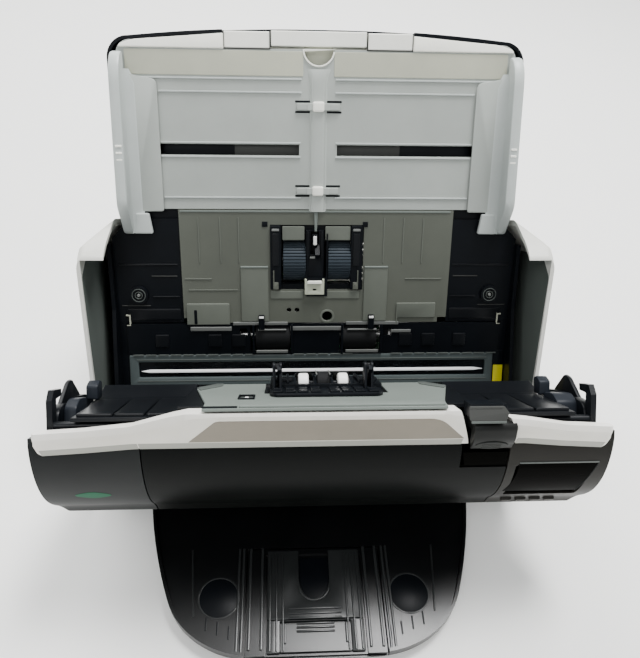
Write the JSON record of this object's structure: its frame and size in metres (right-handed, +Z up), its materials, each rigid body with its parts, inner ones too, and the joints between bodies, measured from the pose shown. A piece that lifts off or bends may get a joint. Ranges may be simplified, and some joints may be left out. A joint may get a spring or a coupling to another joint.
{
  "type": "sheet fed document scanner",
  "caption": "Desktop sheet fed document scanner with a reclined paper chute, an open front cover, a scan window and a fold-out stacker tray.",
  "frame": {"origin": "on the table under the front cover's hinge line, at the middle of the machine's width and depth", "axes": "+Z up, -Y towards the user, +X to the user's right"},
  "size_m": [0.3, 0.2841, 0.2492],
  "materials": {
    "light_plastic": "fine texture",
    "panel_grey": "fine texture",
    "guide_grey": "satin",
    "dark_plastic": "fine texture",
    "cover_black": "satin",
    "band_light": "satin",
    "frame_grey": "satin",
    "glass": "polished",
    "light_white": "bright diffuser",
    "steel": "ground",
    "rubber_blue_grey": "ribbed",
    "rubber_black": "matt",
    "roller_white": "smooth",
    "board_green": "solder mask",
    "display_black": "polished",
    "button_grey": "satin"
  },
  "bodies": {
    "base": {"base_pan": "dark_plastic", "base_screws": "steel", "chute_back": "dark_plastic", "chute_tray": "panel_grey", "drive_belts": "rubber_black", "exit_guide": "dark_plastic", "feed_bed": "dark_plastic", "feed_motor": "steel", "inner_frames": "dark_plastic", "left_side_cover": "light_plastic", "main_board": "board_green", "pick_bracket": "dark_plastic", "pick_guide": "guide_grey", "rear_cover": "light_plastic", "rear_glass": "glass", "rear_glass_frame": "frame_grey", "rear_light_bar": "light_white", "rear_optical_unit": "dark_plastic", "rear_ports": "dark_plastic", "right_side_cover": "light_plastic", "rubber_feet": "rubber_black"},
    "cover": {"front_cover": "cover_black", "left_pod_cover": "cover_black", "operator_panel": "cover_black", "display_window": "display_black", "cover_band": "band_light", "cover_chassis": "dark_plastic", "cover_arms": "dark_plastic", "cover_liner": "dark_plastic", "funnel_plate": "panel_grey", "front_glass_frame": "frame_grey", "front_glass": "glass", "front_optical_unit": "dark_plastic", "brake_housing": "dark_plastic"},
    "pick_drive": {"pick_shaft": "steel", "pick_rollers": "rubber_blue_grey"},
    "feed_drive": {"feed_shaft": "steel", "feed_rollers": "rubber_black"},
    "eject_drive": {"eject_shaft": "steel", "eject_rollers": "rubber_black"},
    "motor_rotor": {"motor_pulley": "steel"},
    "sensor_lever": {"page_sensor_lever": "dark_plastic"},
    "left_guide": {"left_side_guide": "light_plastic"},
    "right_guide": {"right_side_guide": "light_plastic"},
    "chute_extension": {"chute_extension_outer": "light_plastic"},
    "chute_extension_tip": {"chute_extension_inner": "light_plastic"},
    "scan_key": {"scan_button": "button_grey"},
    "send_key": {"send_button": "button_grey"},
    "up_key": {"up_button": "button_grey"},
    "down_key": {"down_button": "button_grey"},
    "latch": {"latch_bar": "steel", "release_tab": "dark_plastic"},
    "white_rollers": {"white_rollers": "roller_white"},
    "brake_roller": {"brake_roller": "rubber_black"},
    "pinch_rollers": {"pinch_rollers": "rubber_black"},
    "eject_idlers": {"eject_idlers": "rubber_black"},
    "stacker": {"stacker_tray": "cover_black"},
    "stacker_slide": {"stacker_slide_outer": "dark_plastic"},
    "stacker_slide_tip": {"stacker_slide_inner": "dark_plastic"},
    "stopper": {"page_stopper": "dark_plastic"}
  },
  "joints": [
    {"name": "cover_hinge", "type": "hinge", "parent": "base", "child": "cover", "pos_m": [0, 0, 0.0245], "axis": [1, 0, 0], "range_deg": [-50, 0]},
    {"name": "feed_roller_spin", "type": "hinge", "parent": "base", "child": "feed_drive", "pos_m": [0, 0.05287, 0.06951], "axis": [1, 0, 0], "continuous": true},
    {"name": "pick_roller_spin", "type": "hinge", "parent": "base", "child": "pick_drive", "pos_m": [0, 0.07774, 0.11698], "axis": [1, 0, 0], "continuous": true},
    {"name": "eject_roller_spin", "type": "hinge", "parent": "base", "child": "eject_drive", "pos_m": [0, 0.01512, 0.02598], "axis": [1, 0, 0], "continuous": true},
    {"name": "motor_spin", "type": "hinge", "parent": "base", "child": "motor_rotor", "pos_m": [0, 0.1, 0.052], "axis": [1, 0, 0], "continuous": true},
    {"name": "sensor_lever_swing", "type": "hinge", "parent": "base", "child": "sensor_lever", "pos_m": [0, 0.07927, 0.13176], "axis": [1, 0, 0], "range_deg": [0, 40], "stiffness_Nm_per_rad": 0.001},
    {"name": "left_guide_slide", "type": "slide", "parent": "base", "child": "left_guide", "axis": [1, 0, 0], "range_m": [0, 0.075]},
    {"name": "right_guide_slide", "type": "slide", "parent": "base", "child": "right_guide", "axis": [-1, 0, 0], "range_m": [0, 0.075]},
    {"name": "chute_extension_slide", "type": "slide", "parent": "base", "child": "chute_extension", "axis": [0, 0.4446, 0.8957], "range_m": [0, 0.06]},
    {"name": "chute_tip_slide", "type": "slide", "parent": "chute_extension", "child": "chute_extension_tip", "axis": [0, 0.4446, 0.8957], "range_m": [0, 0.055]},
    {"name": "scan_key_press", "type": "slide", "parent": "cover", "child": "scan_key", "axis": [0, 0.9583, 0.2859], "range_m": [0, 0.0008], "stiffness_N_per_m": 250},
    {"name": "send_key_press", "type": "slide", "parent": "cover", "child": "send_key", "axis": [0, 0.9583, 0.2859], "range_m": [0, 0.0008], "stiffness_N_per_m": 250},
    {"name": "up_key_press", "type": "slide", "parent": "cover", "child": "up_key", "axis": [0, 0.9583, 0.2859], "range_m": [0, 0.0008], "stiffness_N_per_m": 250},
    {"name": "down_key_press", "type": "slide", "parent": "cover", "child": "down_key", "axis": [0, 0.9583, 0.2859], "range_m": [0, 0.0008], "stiffness_N_per_m": 250},
    {"name": "latch_hinge", "type": "hinge", "parent": "cover", "child": "latch", "pos_m": [0, -0.06663, 0.12323], "axis": [1, 0, 0], "range_deg": [0, 20], "stiffness_Nm_per_rad": 0.25},
    {"name": "white_roller_spin", "type": "hinge", "parent": "cover", "child": "white_rollers", "pos_m": [0, -0.02807, 0.11006], "axis": [1, 0, 0], "continuous": true},
    {"name": "brake_roller_spin", "type": "hinge", "parent": "cover", "child": "brake_roller", "pos_m": [0, -0.02807, 0.11006], "axis": [1, 0, 0], "continuous": true},
    {"name": "pinch_roller_spin", "type": "hinge", "parent": "cover", "child": "pinch_rollers", "pos_m": [0, -0.0156, 0.08704], "axis": [1, 0, 0], "continuous": true},
    {"name": "eject_idler_spin", "type": "hinge", "parent": "cover", "child": "eject_idlers", "pos_m": [0, -0.00608, 0.03807], "axis": [1, 0, 0], "continuous": true},
    {"name": "stacker_fold", "type": "hinge", "parent": "base", "child": "stacker", "pos_m": [-0.005, -0.017, 0.0105], "axis": [-1, 0, 0], "range_deg": [0, 30]},
    {"name": "stacker_slide", "type": "slide", "parent": "stacker", "child": "stacker_slide", "axis": [0, -0.9997, -0.0262], "range_m": [0, 0.055]},
    {"name": "stacker_tip_slide", "type": "slide", "parent": "stacker_slide", "child": "stacker_slide_tip", "axis": [0, -0.9997, -0.0262], "range_m": [0, 0.05]},
    {"name": "stopper_fold", "type": "hinge", "parent": "stacker_slide_tip", "child": "stopper", "pos_m": [-0.005, -0.13869, 0.00869], "axis": [1, 0, 0], "range_deg": [0, 95]}
  ],
  "couplings": [
    {"joint": "pick_roller_spin", "follows": "feed_roller_spin", "ratio": 0.7143},
    {"joint": "eject_roller_spin", "follows": "feed_roller_spin", "ratio": 1.3889},
    {"joint": "motor_spin", "follows": "feed_roller_spin", "ratio": 1},
    {"joint": "right_guide_slide", "follows": "left_guide_slide", "ratio": 1}
  ]
}
